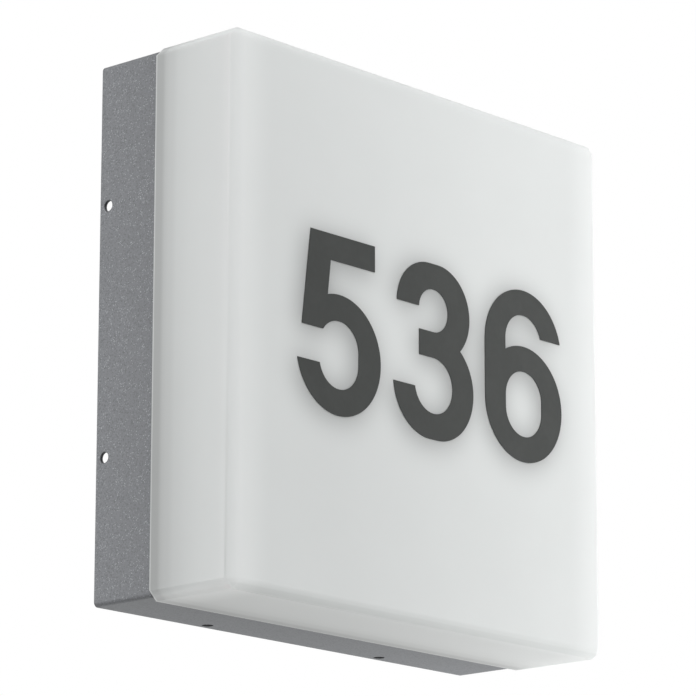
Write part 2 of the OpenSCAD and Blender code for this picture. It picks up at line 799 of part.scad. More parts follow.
// Welded to the panel's rear
module earth_stud() {
    color("goldenrod") facing_wall(earth_right, panel_rear, earth_z) cylinder(d = earth_d, h = earth_l);
}

// Ring on the stud with a barrel that holds the earth lead
module earth_lug() {
    color("silver") difference() {
        union() {
            facing_wall(earth_right, panel_rear, earth_z) cylinder(r = lug_round, h = earth_lug_t);
            translate([lug_end_x, -panel_rear, earth_z - lead_d / 2])
                cube([earth_right - lug_end_x, earth_lug_t, lead_d]);
        }
        facing_wall(earth_right, panel_rear + overcut, earth_z)
            cylinder(r = earth_d / 2 + thread_gap, h = earth_lug_t + 2 * overcut);
    }
    color("silver") translate([lug_end_x, -earth_barrel_depth, earth_z]) rotate([0, 90, 0])
        cylinder(r = earth_barrel_r, h = lug_round);
}

module earth_nut() {
    color("goldenrod") facing_wall(earth_right, panel_rear - earth_lug_t, earth_z) difference() {
        cylinder(d = 2 * earth_d, h = earth_nut_t, $fn = 6);
        translate([0, 0, -overcut]) cylinder(r = earth_d / 2 + thread_gap, h = earth_nut_t + 2 * overcut);
    }
}

// A long bar of the diffuser's depth with two rounded front edges, turned about the light's middle axis
module round_fronted_bar(w, r, turn) {
    rotate([0, turn, 0]) translate([0, 0, -diffuser_w]) linear_extrude(height = 2 * diffuser_w) {
        translate([-w / 2, -(front - r)]) square([w, diffuser_depth - r]);
        translate([-w / 2 + r, -front]) square([w - 2 * r, diffuser_depth]);
        for (x = sides) translate([x * (w / 2 - r), -(front - r)]) circle(r);
    }
}

// Closed box with rounded edges at the front and its four corners cut off
module diffuser_outside() {
    across_corners = sqrt(2) * (diffuser_w - corner_cut);
    intersection() {
        round_fronted_bar(diffuser_w, diffuser_round, 0);
        round_fronted_bar(diffuser_w, diffuser_round, 90);
        round_fronted_bar(across_corners, corner_round, 45);
        round_fronted_bar(across_corners, corner_round, -45);
    }
}

module diffuser() {
    inner_w = diffuser_w - 2 * diffuser_wall;
    block_at = rim_half - block_w / 2 + overcut / 2;
    color("white") difference() {
        union() {
            difference() {
                diffuser_outside();
                between(panel_front - overcut, panel_front + rim_depth + overcut)
                    square(2 * rim_half, center = true);
                between(panel_front + rim_depth, front - diffuser_wall)
                    cut_square(inner_w, corner_cut - (2 - sqrt(2)) * diffuser_wall);
            }
            between(panel_front, panel_front + block_depth)
                at_corners(block_at) square(block_w + overcut, center = true);
        }
        between(panel_front - overcut, panel_front + diffuser_screw_grip + tip_gap)
            at_corners(diffuser_screw_at) circle(diffuser_screw_d / 2 + thread_gap);
        between(panel_front - overcut, panel_front + groove_depth)
            square_ring(groove_half, groove_w);
    }
}

module square_ring(inner_half, w) {
    difference() {
        rounded_square(2 * (inner_half + w), w);
        square(2 * inner_half, center = true);
    }
}

module rim_gasket() {
    color("dimgray") between(panel_front, panel_front + groove_depth)
        square_ring(groove_half + gasket_gap, groove_w - 2 * gasket_gap);
}

module diffuser_screws() {
    color("silver") for (x = sides, z = sides)
        facing_wall(x * diffuser_screw_at, panel_rear - washer_t, z * diffuser_screw_at)
            pan_screw(diffuser_screw_d, diffuser_screw_reach);
}

module diffuser_washers() {
    color("dimgray") for (x = sides, z = sides)
        facing_wall(x * diffuser_screw_at, panel_rear, z * diffuser_screw_at)
            washer(diffuser_screw_d + 2 * thread_gap, washer_ratio * diffuser_screw_d, washer_t);
}

// An upright loop with straight sides, as wide as a digit's counter
module counter(h) {
    w = digit_w - 2 * stem_w;
    square([w, h - w], center = true);
    for (y = sides) translate([0, y * (h - w) / 2]) circle(w / 2);
}

module five() {
    r = digit_w / 2;
    gap_low = 0.27 * digit_h;
    gap_high = 0.46 * digit_h;
    foot_x = 0.06 * digit_w;
    head_x = 0.16 * digit_w;
    lean = (head_x - foot_x) / (digit_h - gap_high);
    difference() {
        union() {
            translate([r, r]) circle(r);
            polygon([[foot_x - overcut, gap_high - overcut], [foot_x + stem_w, gap_high - overcut],
                [head_x + stem_w, digit_h], [head_x - overcut, digit_h]]);
            translate([head_x - overcut, digit_h - bar_w]) square([0.77 * digit_w + overcut, bar_w]);
        }
        translate([r, r]) counter(digit_w - 2 * bar_w);
        polygon([[-overcut, gap_low], [r, gap_low], [r, gap_high], [foot_x, gap_high],
            [head_x + lean * overcut, digit_h + overcut], [-overcut, digit_h + overcut]]);
    }
}

module six() {
    r = digit_w / 2;
    terminal_y = 0.74 * digit_h;
    translate([r, r]) difference() {
        circle(r);
        counter(digit_w - 2 * bar_w);
    }
    difference() {
        union() {
            for (y = [r, digit_h - r]) translate([r, y]) circle(r);
            translate([0, r]) square([digit_w, digit_h - digit_w]);
        }
        translate([r, digit_h / 2]) counter(digit_h - 2 * bar_w);
        translate([r, -overcut]) square([r + overcut, terminal_y + overcut]);
    }
}

module three() {
    low_r = (digit_h / 2 + 0.75 * bar_w) / 2;
    high_r = (digit_h + bar_w) / 2 - low_r;
    high_w = 0.91 * digit_w;
    middle_y = 2 * low_r - bar_w;
    gap_low = 0.28 * digit_h;
    gap_high = 0.74 * digit_h;
    difference() {
        union() {
            oval_ring(digit_w, low_r);
            translate([(digit_w - high_w) / 2, middle_y]) oval_ring(high_w, high_r);
        }
        translate([-overcut, gap_low]) square([digit_w / 2 + overcut, gap_high - gap_low]);
    }
    translate([0.32 * digit_w, middle_y]) square([0.22 * digit_w, bar_w]);
}

// A ring between an oval outline and a round counter
module oval_ring(w, r) {
    translate([w / 2, r]) difference() {
        union() {
            square([w - 2 * r, 2 * r], center = true);
            for (x = sides) translate([x * (w / 2 - r), 0]) circle(r);
        }
        circle(r - bar_w);
    }
}

// A digit of film on the diffuser's front, counted from the middle one
module on_front(place) {
    color("dimgray") between(front, front + film_t)
        translate([number_right + place * digit_pitch - digit_w / 2, number_up - digit_h / 2]) children();
}

module digit_left() {
    on_front(-1) five();
}

module digit_middle() {
    on_front(0) three();
}

module digit_right() {
    on_front(1) six();
}

wall_bracket();
lock_screw_top_left();
lock_screw_top_right();
lock_screw_bottom_left();
lock_screw_bottom_right();
housing();
carrier_tray();
led_board();
led_chips();
board_screws();
board_connector();
lead_grommet();
led_lead_positive();
led_lead_negative();
driver_case();
driver_cover();
driver_board();
driver_transformer();
driver_capacitor();
driver_screws();
terminal_base();
terminal_cover();
terminal_block();
terminal_clamps();
terminal_screws();
terminal_box_screws();
cable_grommet();
cord_clamp();
cord_clamp_screws();
live_lead();
neutral_lead();
earth_lead();
earth_lug();
earth_nut();
earth_stud();
diffuser();
rim_gasket();
diffuser_screws();
diffuser_washers();
digit_left();
digit_middle();
digit_right();
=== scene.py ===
import json
import math

import bmesh
import bpy
import numpy as np
from mathutils import Matrix, Vector
from mathutils.bvhtree import BVHTree


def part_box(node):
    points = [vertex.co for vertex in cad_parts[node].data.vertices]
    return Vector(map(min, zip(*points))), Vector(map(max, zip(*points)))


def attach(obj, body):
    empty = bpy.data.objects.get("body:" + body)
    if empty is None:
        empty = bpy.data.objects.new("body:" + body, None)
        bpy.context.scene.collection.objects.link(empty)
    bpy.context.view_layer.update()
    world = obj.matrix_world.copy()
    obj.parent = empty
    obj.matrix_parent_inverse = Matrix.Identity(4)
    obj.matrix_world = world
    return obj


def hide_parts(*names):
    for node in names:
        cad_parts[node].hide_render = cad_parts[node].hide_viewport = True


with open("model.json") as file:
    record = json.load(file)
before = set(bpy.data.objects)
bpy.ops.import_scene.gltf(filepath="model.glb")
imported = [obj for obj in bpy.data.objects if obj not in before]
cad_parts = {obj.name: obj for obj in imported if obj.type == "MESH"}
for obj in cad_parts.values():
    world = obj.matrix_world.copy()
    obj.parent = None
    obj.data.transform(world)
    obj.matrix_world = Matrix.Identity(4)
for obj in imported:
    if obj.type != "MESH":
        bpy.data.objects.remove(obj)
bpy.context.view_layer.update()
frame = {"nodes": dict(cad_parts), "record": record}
nodes = frame["nodes"]
mm = 0.001
black, white = (0.0, 0.0, 0.0, 1.0), (1.0, 1.0, 1.0, 1.0)
print("frame loaded with", len(nodes), "nodes")


# Finishes are written as sums on wires, which become shader nodes

class Wire:
    def __init__(self, finish, socket):
        self.finish = finish
        self.socket = socket

    def maths(self, operation, first, second=0.0):
        return self.finish.node("Math", {"operation": operation}, {0: first, 1: second})

    def __add__(self, other):
        return self.maths("ADD", self, other)

    def __sub__(self, other):
        return self.maths("SUBTRACT", self, other)

    def __rsub__(self, other):
        return self.maths("SUBTRACT", other, self)

    def __mul__(self, other):
        return self.maths("MULTIPLY", self, other)

    def __truediv__(self, other):
        return self.maths("DIVIDE", self, other)

    def __rtruediv__(self, other):
        return self.maths("DIVIDE", other, self)

    def __neg__(self):
        return self.maths("MULTIPLY", self, -1.0)

    def __abs__(self):
        return self.maths("ABSOLUTE", self)

    def atLeast(self, other):
        return self.maths("MAXIMUM", self, other)

    def atMost(self, other):
        return self.maths("MINIMUM", self, other)

    def below(self, other):
        return self.maths("LESS_THAN", self, other)

    def wrapped(self, pitch):  # how far past the nearest multiple of pitch
        return self.finish.node("Math", {"operation": "WRAP"}, {0: self, 1: pitch / 2, 2: -pitch / 2})

    __radd__ = __add__
    __rmul__ = __mul__


class Finish:
    def __init__(self, owner):
        self.owner = owner
        owner.use_nodes = True
        self.tree = owner.node_tree
        self.tree.nodes.clear()

    def node(self, kind, settings, sockets, out=0):
        made = self.tree.nodes.new("ShaderNode" + kind)
        for name, value in settings.items():
            if name == "stops":
                self.fillRamp(made.color_ramp, value)
            else:
                setattr(made, name, value)
        for name, value in sockets.items():
            if isinstance(value, Wire):
                self.tree.links.new(value.socket, made.inputs[name])
            else:
                made.inputs[name].default_value = value
        return Wire(self, made.outputs[out]) if made.outputs else made

    def fillRamp(self, ramp, stops):
        while len(ramp.elements) < len(stops):
            ramp.elements.new(0.5)
        for element, (position, colour) in zip(ramp.elements, stops):
            element.position = position
            element.color = colour

    def place(self):  # where a point is on the part, in millimetres
        metres = self.node("TexCoord", {}, {}, out="Object")
        return self.node("VectorMath", {"operation": "SCALE"}, {0: metres, "Scale": 1 / mm})

    def stretched(self, vector, x, y, z):
        return self.node("VectorMath", {"operation": "MULTIPLY"}, {0: vector, 1: (x, y, z)})

    def axes(self, vector):
        split = self.node("SeparateXYZ", {}, {0: vector}).socket.node
        return [Wire(self, out) for out in split.outputs]

    def noise(self, vector, size, detail=2.0, roughness=0.5):  # 0 to 1, with features of that size in mm
        sockets = {"Vector": vector, "Scale": 1 / size, "Detail": detail, "Roughness": roughness}
        return self.node("TexNoise", {}, sockets)

    def cells(self, vector, size, out="Distance"):
        return self.node("TexVoronoi", {}, {"Vector": vector, "Scale": 1 / size}, out=out)

    def rise(self, value, low, high):  # 0 below low, 1 above high, smooth between
        return self.node("MapRange", {"interpolation_type": "SMOOTHSTEP"}, {0: value, 1: low, 2: high})

    def nearing(self, value, limit, far, near):  # 0 until far mm short of a limit, 1 from near mm short of it
        return self.rise(value, limit - far, limit - near)

    def patches(self, vector, given, detail=2.0):  # a share that is reached in soft patches
        return self.rise(self.noise(vector, given["size"], detail), *given["edges"]) * given["share"]

    def uneven(self, vector, level, size, spread):  # a level that wanders up by as much as spread
        return level + self.noise(vector, size) * spread

    def mix(self, share, first, second):
        return self.node("Mix", {"data_type": "RGBA"}, {0: share, 6: first, 7: second}, out=2)

    def bump(self, height, distance):
        return self.node("Bump", {}, {"Height": height, "Distance": distance * mm, "Strength": 1.0})

    def surface(self, sockets):
        shader = self.node("BsdfPrincipled", {}, sockets)
        self.node("OutputMaterial", {}, {0: shader})
        return self.owner


def seen(red, green, blue):  # a colour as the eye sees it, 0 to 255
    linear = [((c / 255 + 0.055) / 1.055) ** 2.4 if c > 10 else c / 3295 for c in (red, green, blue)]
    return (*linear, 1.0)


def newFinish(name):
    return Finish(bpy.data.materials.new(name))


# Silver-grey powder coat: fine light and dark flakes over a slightly uneven skin.
# Painted shade darkens it towards the front, at the front lip, at the folds and inside the holes. Its bright
# flakes are partly its own and partly painted glints, and fewer are painted on top and below, as if unlit.
# Pairs are the levels, or the distances in mm, between which a share sets in, and three numbers are a
# roughness, the size of its changes and their spread.
coat = {
    "dark": seen(124, 126, 129), "middle": seen(146, 148, 152), "light": seen(206, 209, 215),
    "paintedShade": seen(60, 62, 64), "metallic": 0.15, "rough": (0.46, 1.1, 0.16), "bump": 0.05,
    "grain": {"size": 0.75, "roughness": 0.6, "edges": (0.34, 0.50)},
    "flakeGlints": {"size": 0.9, "edges": (0.14, 0.34)},
    "glintPatches": {"size": 3.0, "edges": (0.40, 0.60), "share": 0.8},
    "clouds": {"size": 22.0, "edges": (0.2, 0.8), "share": 0.10},
    "unlit": {"near": (1.2, 0.4), "share": 0.8},
    "frontShadeShare": 0.30,
    "lipShade": {"depth": (0.2, 2.2), "share": 0.35},
    "foldShade": {"near": (2.0, 0.3), "share": 0.45},
    "hole": {"fromWall": 5.0, "apart": 115.0, "radius": 2.5, "margin": 0.2, "share": 0.8},
    "skin": {"size": 1.3, "grainShare": 0.6},
}


def powderCoat():
    f = newFinish("housingCoat")
    p = f.place()
    x, y, z = f.axes(p)
    front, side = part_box("housing")[0].y / mm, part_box("housing")[1].x / mm
    outward = abs(x).atMost(abs(z))
    given = coat["grain"]
    grain = f.noise(p, given["size"], roughness=given["roughness"])
    base = f.mix(f.rise(grain, *given["edges"]), coat["dark"], coat["middle"])
    base = f.mix(f.patches(p, coat["clouds"]), base, coat["dark"])
    # painted shade: darker towards the front, darker still at the front lip and along the folds
    base = f.mix(f.rise(-y, 0.0, -front) * coat["frontShadeShare"], base, coat["dark"])
    base = f.mix((1 - f.rise(y - front, *coat["lipShade"]["depth"])) * coat["lipShade"]["share"], base, coat["paintedShade"])
    base = f.mix(f.nearing(outward, side, *coat["foldShade"]["near"]) * coat["foldShade"]["share"], base, coat["paintedShade"])
    # painted shade inside the holes
    hole = coat["hole"]
    along = outward - hole["apart"] / 2  # a hole lies this far along the side that it is in
    across = y + hole["fromWall"]
    inHole = (along * along + across * across).below((hole["radius"] + hole["margin"]) ** 2)
    base = f.mix(inHole * hole["share"], base, coat["paintedShade"])
    # bright flakes, partly the coat's own and partly painted glints, mostly left out on top and below as if
    # unlit
    flakeGlints = 1 - f.rise(f.cells(p, coat["flakeGlints"]["size"]), *coat["flakeGlints"]["edges"])
    lit = 1 - f.nearing(abs(z), side, *coat["unlit"]["near"]) * coat["unlit"]["share"]
    skin = f.noise(p, coat["skin"]["size"], detail=1.0) + grain * coat["skin"]["grainShare"]
    return f.surface({
        "Base Color": f.mix(flakeGlints * f.patches(p, coat["glintPatches"]) * lit, base, coat["light"]),
        "Roughness": f.uneven(p, *coat["rough"]),
        "Normal": f.bump(skin, coat["bump"]),
        "Metallic": coat["metallic"],
    })


# Opal acrylic: light wanders inside it. Its colour holds painted shade: greyer in a band near the rear edge,
# darker in its middle and along some edges, with painted highlights at the rear edge and just before the
# front rounding, and a painted glow at the lower left corner.
# Pairs are distances in mm between which a share sets in, most of them from an outer face.
opal = {
    "white": (0.899, 0.921, 0.917), "grey": seen(180, 184, 180), "clouds": {"size": 30.0, "share": 0.05},
    "scatter": 1.6, "index": 1.49, "rough": (0.36, 12.0, 0.04), "grain": 0.8, "bump": 0.004, "smooth": 50,
    "depths": [  # painted shade and highlights: from the rear edge, in mm, and the share of the front's brightness
        (0.0, 0.86), (0.5, 0.80), (0.9, 0.60), (4.4, 0.62), (6.4, 0.74), (8.5, 0.79), (11.0, 0.815),
        (14.0, 0.88), (21.0, 0.93), (29.0, 0.96), (38.0, 0.985), (41.0, 1.0), (43.2, 1.025), (44.8, 1.025),
        (46.2, 0.99), (48.0, 1.005), (49.5, 1.0),
    ],
    # painted shade: these shares darken the opal's middle, its top edge, its low front, its front's bottom
    # edge and its sides
    "onSide": (3.0, 0.5), "middle": {"inward": (3.0, 25.0), "share": 0.095},
    "crown": {"near": (5.0, 1.0), "share": 0.11}, "rim": {"near": (2.0, 0.4), "share": 0.05},
    "foot": {"down": (0.0, 70.0), "front": (0.8, 0.2), "inward": (10.0, 80.0), "share": 0.035},
    "band": {"bottom": (2.8, 1.8), "front": (4.0, 2.8), "share": 0.07},
    "fall": {"down": (-60.0, 110.0), "end": (2.8, 0.8), "depth": (10.0, 35.0), "front": 0.03, "rear": 0.06},
    "cut": 4.3,
    # painted light: the glow at the lower left corner
    "glow": {"corner": (20.0, 0.5), "bottom": (4.6, 2.8), "strength": 0.09},
    "cutGlow": {"side": (4.8, 3.8), "bottom": (3.3, 0.8), "share": 0.6},
    # painted shadow round the number
    "shade": {
        "name": "numberShade", "strength": 0.62, "grid": 2.5, "sample": 2.0, "reach": 6.5, "margin": 20.0,
        "shift": (2.6, 1.6), "roundedEdge": 6.0,
    },
}


def opalAcrylic():
    f = newFinish("opalAcrylic")
    p = f.place()
    x, y, z = f.axes(p)
    side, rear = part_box("diffuser")[1].x / mm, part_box("diffuser")[1].y / mm
    depth = rear - y
    deepest = opal["depths"][-1][0]
    stops = []
    for place, share in opal["depths"]:
        stops.append((place / deepest, (*(min(1.0, share * c) for c in opal["white"]), 1.0)))
    tone = f.node("ValToRGB", {"stops": stops}, {0: depth / deepest})
    tone = f.mix(f.noise(p, opal["clouds"]["size"]) * opal["clouds"]["share"], tone, opal["grey"])
    shade = f.node("Attribute", {"attribute_name": opal["shade"]["name"]}, {}, out="Fac")
    level = opalLevel(f, x, z, depth, side, deepest) * (1 - shade)
    return f.surface({
        "Base Color": f.node("VectorMath", {"operation": "SCALE"}, {0: tone, "Scale": level}),
        "Roughness": f.uneven(p, *opal["rough"]),
        "Normal": f.bump(f.noise(p, opal["grain"]), opal["bump"]),
        # painted light: a glow at the lower left corner
        "Emission Color": f.mix(paintedCornerGlow(f, x, z, side), black, white),
        "Emission Strength": opal["glow"]["strength"],
        "Subsurface Weight": 1.0,
        "Subsurface Radius": (1.0, 1.0, 1.0),
        "Subsurface Scale": opal["scatter"] * mm,
        "IOR": opal["index"],
    })


def opalLevel(f, x, z, depth, side, deepest):  # painted shade: the opal is darker in its middle and along some of its edges
    inward = side - abs(x)
    onSide = f.nearing(abs(x), side, *opal["onSide"])
    middle, foot, band, fall = (opal[k] for k in ("middle", "foot", "band", "fall"))
    level = 1 - f.rise(inward, *middle["inward"]) * middle["share"]
    for edge in (opal["crown"], opal["rim"]):
        level = level * (1 - (1 - onSide) * f.nearing(z, side, *edge["near"]) * edge["share"])
    lowFront = f.rise(-z, *foot["down"]) * f.nearing(depth, deepest, *foot["front"])
    level = level * (1 - lowFront * f.rise(inward, *foot["inward"]) * foot["share"])
    frontEdge = f.nearing(-z, side, *band["bottom"]) * f.nearing(depth, deepest, *band["front"])
    level = level * (1 - frontEdge * band["share"])
    fallen = fall["front"] + (1 - f.rise(depth, *fall["depth"])) * fall["rear"]
    fallen = fallen * f.rise(-z, *fall["down"]) * (1 - f.nearing(-z, side, *fall["end"]))
    return level * (1 - fallen * onSide)


def paintedCornerGlow(f, x, z, side):  # painted light: the lower left corner glows, most of all where it is cut off
    glow, cut = opal["glow"], opal["cutGlow"]
    corner = 2 * side - opal["cut"]  # what both coordinates add up to on the cut-off corner
    byCorner = f.nearing(-x - z, corner, *glow["corner"]) * f.nearing(-z, side, *glow["bottom"])
    onCut = f.nearing(-x, side, *cut["side"]) * f.nearing(-z, side, *cut["bottom"])
    return byCorner * (1 - cut["share"]) + onCut * cut["share"]


# Dark grey film of the number
film = {
    "tone": seen(50, 53, 51), "worn": seen(58, 61, 59),
    "wear": {"size": 9.0, "edges": (0.35, 0.75), "share": 0.5}, "rough": (0.55, 2.5, 0.1), "grain": 0.35,
    "bump": 0.004,
}


def numberFilm():
    f = newFinish("numberFilm")
    p = f.place()
    return f.surface({
        "Base Color": f.mix(f.patches(p, film["wear"]), film["tone"], film["worn"]),
        "Roughness": f.uneven(p, *film["rough"]),
        "Normal": f.bump(f.noise(p, film["grain"]), film["bump"]),
    })


# Bright zinc on folded steel: faint spangle and rolling lines
zinc = {
    "dull": seen(184, 187, 190), "bright": seen(204, 206, 207), "streak": seen(150, 153, 157),
    "spangle": 3.4, "rolled": (6.0, 6.0, 0.12), "lines": 2.0, "lineEdges": (0.4, 0.7), "streakShare": 0.35,
    "roughness": 0.30, "lineRoughness": 0.22, "metallic": 0.9, "bump": 0.01,
}


def zincPlate():
    f = newFinish("zincPlate")
    p = f.place()
    lines = f.noise(f.stretched(p, *zinc["rolled"]), zinc["lines"], detail=3.0)
    tone = f.mix(f.cells(p, zinc["spangle"], out="Color"), zinc["dull"], zinc["bright"])
    return f.surface({
        "Base Color": f.mix(f.rise(lines, *zinc["lineEdges"]) * zinc["streakShare"], tone, zinc["streak"]),
        "Roughness": zinc["roughness"] + lines * zinc["lineRoughness"],
        "Normal": f.bump(lines, zinc["bump"]),
        "Metallic": zinc["metallic"],
    })


# Metals of small turned and stamped parts, with fine marks
smallMetals = {
    "stainless": {
        "dark": seen(172, 172, 174), "light": seen(208, 208, 208), "stretch": (1.0, 5.0, 1.0), "size": 0.5,
        "detail": 2.0, "roughness": 0.22, "spread": 0.2, "bump": 0.006,
    },
    "brass": {
        "dark": seen(190, 150, 78), "light": seen(226, 192, 120), "stretch": (1.0, 1.0, 1.0), "size": 0.7,
        "detail": 3.0, "roughness": 0.24, "spread": 0.22, "bump": 0.006,
    },
}


def smallMetal(name):
    given = smallMetals[name]
    f = newFinish(name)
    marks = f.noise(f.stretched(f.place(), *given["stretch"]), given["size"], detail=given["detail"])
    return f.surface({
        "Base Color": f.mix(marks, given["dark"], given["light"]),
        "Roughness": given["roughness"] + marks * given["spread"],
        "Normal": f.bump(marks, given["bump"]),
        "Metallic": 1.0,
    })


# White stove enamel of the tray
trayEnamel = {
    "tone": seen(242, 242, 239), "dull": seen(232, 232, 228), "skin": 1.6, "bump": 0.02,
    "roughness": 0.38, "skinRoughness": 0.12, "clouds": {"size": 18.0, "edges": (0.3, 0.8), "share": 0.4},
}


def trayCoat():
    f = newFinish("trayCoat")
    p = f.place()
    skin = f.noise(p, trayEnamel["skin"])
    return f.surface({
        "Base Color": f.mix(f.patches(p, trayEnamel["clouds"]), trayEnamel["tone"], trayEnamel["dull"]),
        "Roughness": trayEnamel["roughness"] + skin * trayEnamel["skinRoughness"],
        "Normal": f.bump(skin, trayEnamel["bump"]),
    })


# Moulded plastics differ in colour and grain only
moulding = {
    "dull": 0.86, "clouds": {"size": 11.0, "edges": (0.3, 0.8), "share": 0.5},
    "grainRoughness": 0.14, "bump": 0.015,
}


def moulded(name, tone, grain=0.5, roughness=0.42):
    f = newFinish(name)
    p = f.place()
    texture = f.noise(p, grain)
    dull = (*(c * moulding["dull"] for c in tone[:3]), 1.0)
    return f.surface({
        "Base Color": f.mix(f.patches(p, moulding["clouds"]), tone, dull),
        "Roughness": roughness + texture * moulding["grainRoughness"],
        "Normal": f.bump(texture, moulding["bump"]),
    })


# White mask over the tracks that join the chips of a row, and the board's bare edge round it
mask = {
    "tone": seen(238, 239, 235), "overTrack": seen(216, 219, 214), "bare": seen(222, 214, 182),
    "trackEdge": (2.6, 2.8), "chipEdge": (1.6, 1.8), "maskEdge": (78.3, 78.6), "tracksReach": 66.0,
    "trackShare": 0.5, "rough": (0.32, 1.5, 0.1), "grain": 0.9, "grainShare": 0.15, "bump": 0.035,
}


def boardMask():
    f = newFinish("boardMask")
    p = f.place()
    x, y, z = f.axes(p)
    pitch = chips["pitch"]
    row = abs((z + pitch / 2).wrapped(pitch))
    column = abs((x + pitch / 2).wrapped(pitch))
    outward = abs(x).atLeast(abs(z))
    track = (1 - f.rise(row, *mask["trackEdge"])) * f.rise(column, *mask["chipEdge"])
    track = track * outward.below(mask["tracksReach"])
    tone = f.mix(track * mask["trackShare"], mask["tone"], mask["overTrack"])
    return f.surface({
        "Base Color": f.mix(f.rise(outward, *mask["maskEdge"]), tone, mask["bare"]),
        "Roughness": f.uneven(p, *mask["rough"]),
        "Normal": f.bump(track + f.noise(p, mask["grain"]) * mask["grainShare"], mask["bump"]),
    })


# Green mask of the driver's board
greenBoard = {
    "mask": seen(22, 84, 48), "track": seen(44, 118, 70), "stretch": (1.0, 1.0, 3.0), "size": 5.0,
    "edges": (0.48, 0.52), "rough": (0.3, 1.2, 0.1), "bump": 0.03,
}


def greenMask():
    f = newFinish("greenMask")
    p = f.place()
    routes = f.noise(f.stretched(p, *greenBoard["stretch"]), greenBoard["size"], detail=1.0)
    tracks = f.rise(routes, *greenBoard["edges"])
    return f.surface({
        "Base Color": f.mix(tracks, greenBoard["mask"], greenBoard["track"]),
        "Roughness": f.uneven(p, *greenBoard["rough"]),
        "Normal": f.bump(tracks, greenBoard["bump"]),
    })


# Insulation of the leads, where the earth lead has a slanting stripe
sleeve = {
    "dust": seen(30, 30, 30), "dustSize": 6.0, "dustShare": 0.25, "rough": (0.36, 0.8, 0.12), "grain": 0.5,
    "bump": 0.008, "stripePitch": 3.2, "stripeSlant": 0.9, "stripeEdge": (0.7, 0.9),
}


def insulation(name, tone, stripe=None):
    f = newFinish(name)
    p = f.place()
    colour = tone
    if stripe:
        x, y, z = f.axes(p)
        beside = abs((x + y * sleeve["stripeSlant"] + z).wrapped(sleeve["stripePitch"]))
        colour = f.mix(f.rise(beside, *sleeve["stripeEdge"]), stripe, tone)
    return f.surface({
        "Base Color": f.mix(f.noise(p, sleeve["dustSize"]) * sleeve["dustShare"], colour, sleeve["dust"]),
        "Roughness": f.uneven(p, *sleeve["rough"]),
        "Normal": f.bump(f.noise(p, sleeve["grain"]), sleeve["bump"]),
    })


# Rubber with a pale bloom
seals = {
    "tone": seen(52, 52, 53), "bloomed": seen(84, 84, 84), "grain": 0.4, "bump": 0.02,
    "roughness": 0.62, "bloomRoughness": 0.3, "bloom": {"size": 2.2, "edges": (0.45, 0.8), "share": 0.5},
}


def rubber():
    f = newFinish("rubber")
    p = f.place()
    bloom = f.patches(p, seals["bloom"], detail=4.0)
    return f.surface({
        "Base Color": f.mix(bloom, seals["tone"], seals["bloomed"]),
        "Roughness": seals["roughness"] + bloom * seals["bloomRoughness"],
        "Normal": f.bump(f.noise(p, seals["grain"]), seals["bump"]),
    })


# Phosphor in clear resin
resin = {
    "dark": seen(240, 208, 96), "light": seen(250, 226, 140), "clouds": 0.35, "rough": (0.14, 0.8, 0.08),
    "grain": 0.3, "bump": 0.004, "coat": 0.6,
}


def phosphor():
    f = newFinish("phosphor")
    p = f.place()
    return f.surface({
        "Base Color": f.mix(f.noise(p, resin["clouds"]), resin["dark"], resin["light"]),
        "Roughness": f.uneven(p, *resin["rough"]),
        "Normal": f.bump(f.noise(p, resin["grain"]), resin["bump"]),
        "Coat Weight": resin["coat"],
    })


# Pieces are rounded copies of the CAD meshes, or are modelled here

def meshPiece(name, build, material, body, replaced, slotName, smoothAngle=35, weighted=False):
    mesh = bpy.data.meshes.new(name)
    bm = bmesh.new()
    build(bm)
    bmesh.ops.recalc_face_normals(bm, faces=bm.faces)
    bm.to_mesh(mesh)
    bm.free()
    for given in material if isinstance(material, (list, tuple)) else [material]:
        mesh.materials.append(given)
    mesh.shade_smooth()
    mesh.set_sharp_from_angle(angle=math.radians(smoothAngle))
    piece = bpy.data.objects.new(name, mesh)
    bpy.context.scene.collection.objects.link(piece)
    if weighted:
        piece.modifiers.new("evenShading", "WEIGHTED_NORMAL").keep_sharp = True
    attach(piece, body)
    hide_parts(*replaced)
    return piece


slotOf = {s["node"]: s["material_slot"] for s in frame["record"]["subparts"]}
bodyOf = {n: body for body, members in frame["record"]["behaviour"]["bodies"].items() for n in members}


# Metric threads are cut into the shanks that can be seen
smallThread, largeThread = {"across": 3.0, "pitch": 0.5}, {"across": 4.0, "pitch": 0.7}
lockScrews = ["lock_screw_" + corner for corner in ("top_left", "top_right", "bottom_left", "bottom_right")]
threads = {
    "earth_stud": largeThread, "diffuser_screws": largeThread, "board_screws": smallThread,
    **dict.fromkeys(lockScrews, largeThread),
}
# Rings in each turn, depth as a share of the pitch, and what counts as an edge of a shank, in mm
threadCut = {"rings": 5, "share": 0.5, "shortest": 2.0, "tolerance": 0.03, "parallel": 0.999}


def islands(bm):
    bm.verts.index_update()
    done = set()
    for first in list(bm.verts):
        if first in done:
            continue
        found, edge = set(), {first}
        while edge:
            found |= edge
            edge = {e.other_vert(v) for v in edge for e in v.link_edges} - found
        done |= found
        yield sorted(found, key=lambda v: v.index)


def offAxis(place, middle, axis):  # the two coordinates across an axis, in right-handed order
    away = place - middle
    return away[(axis + 1) % 3], away[(axis + 2) % 3]


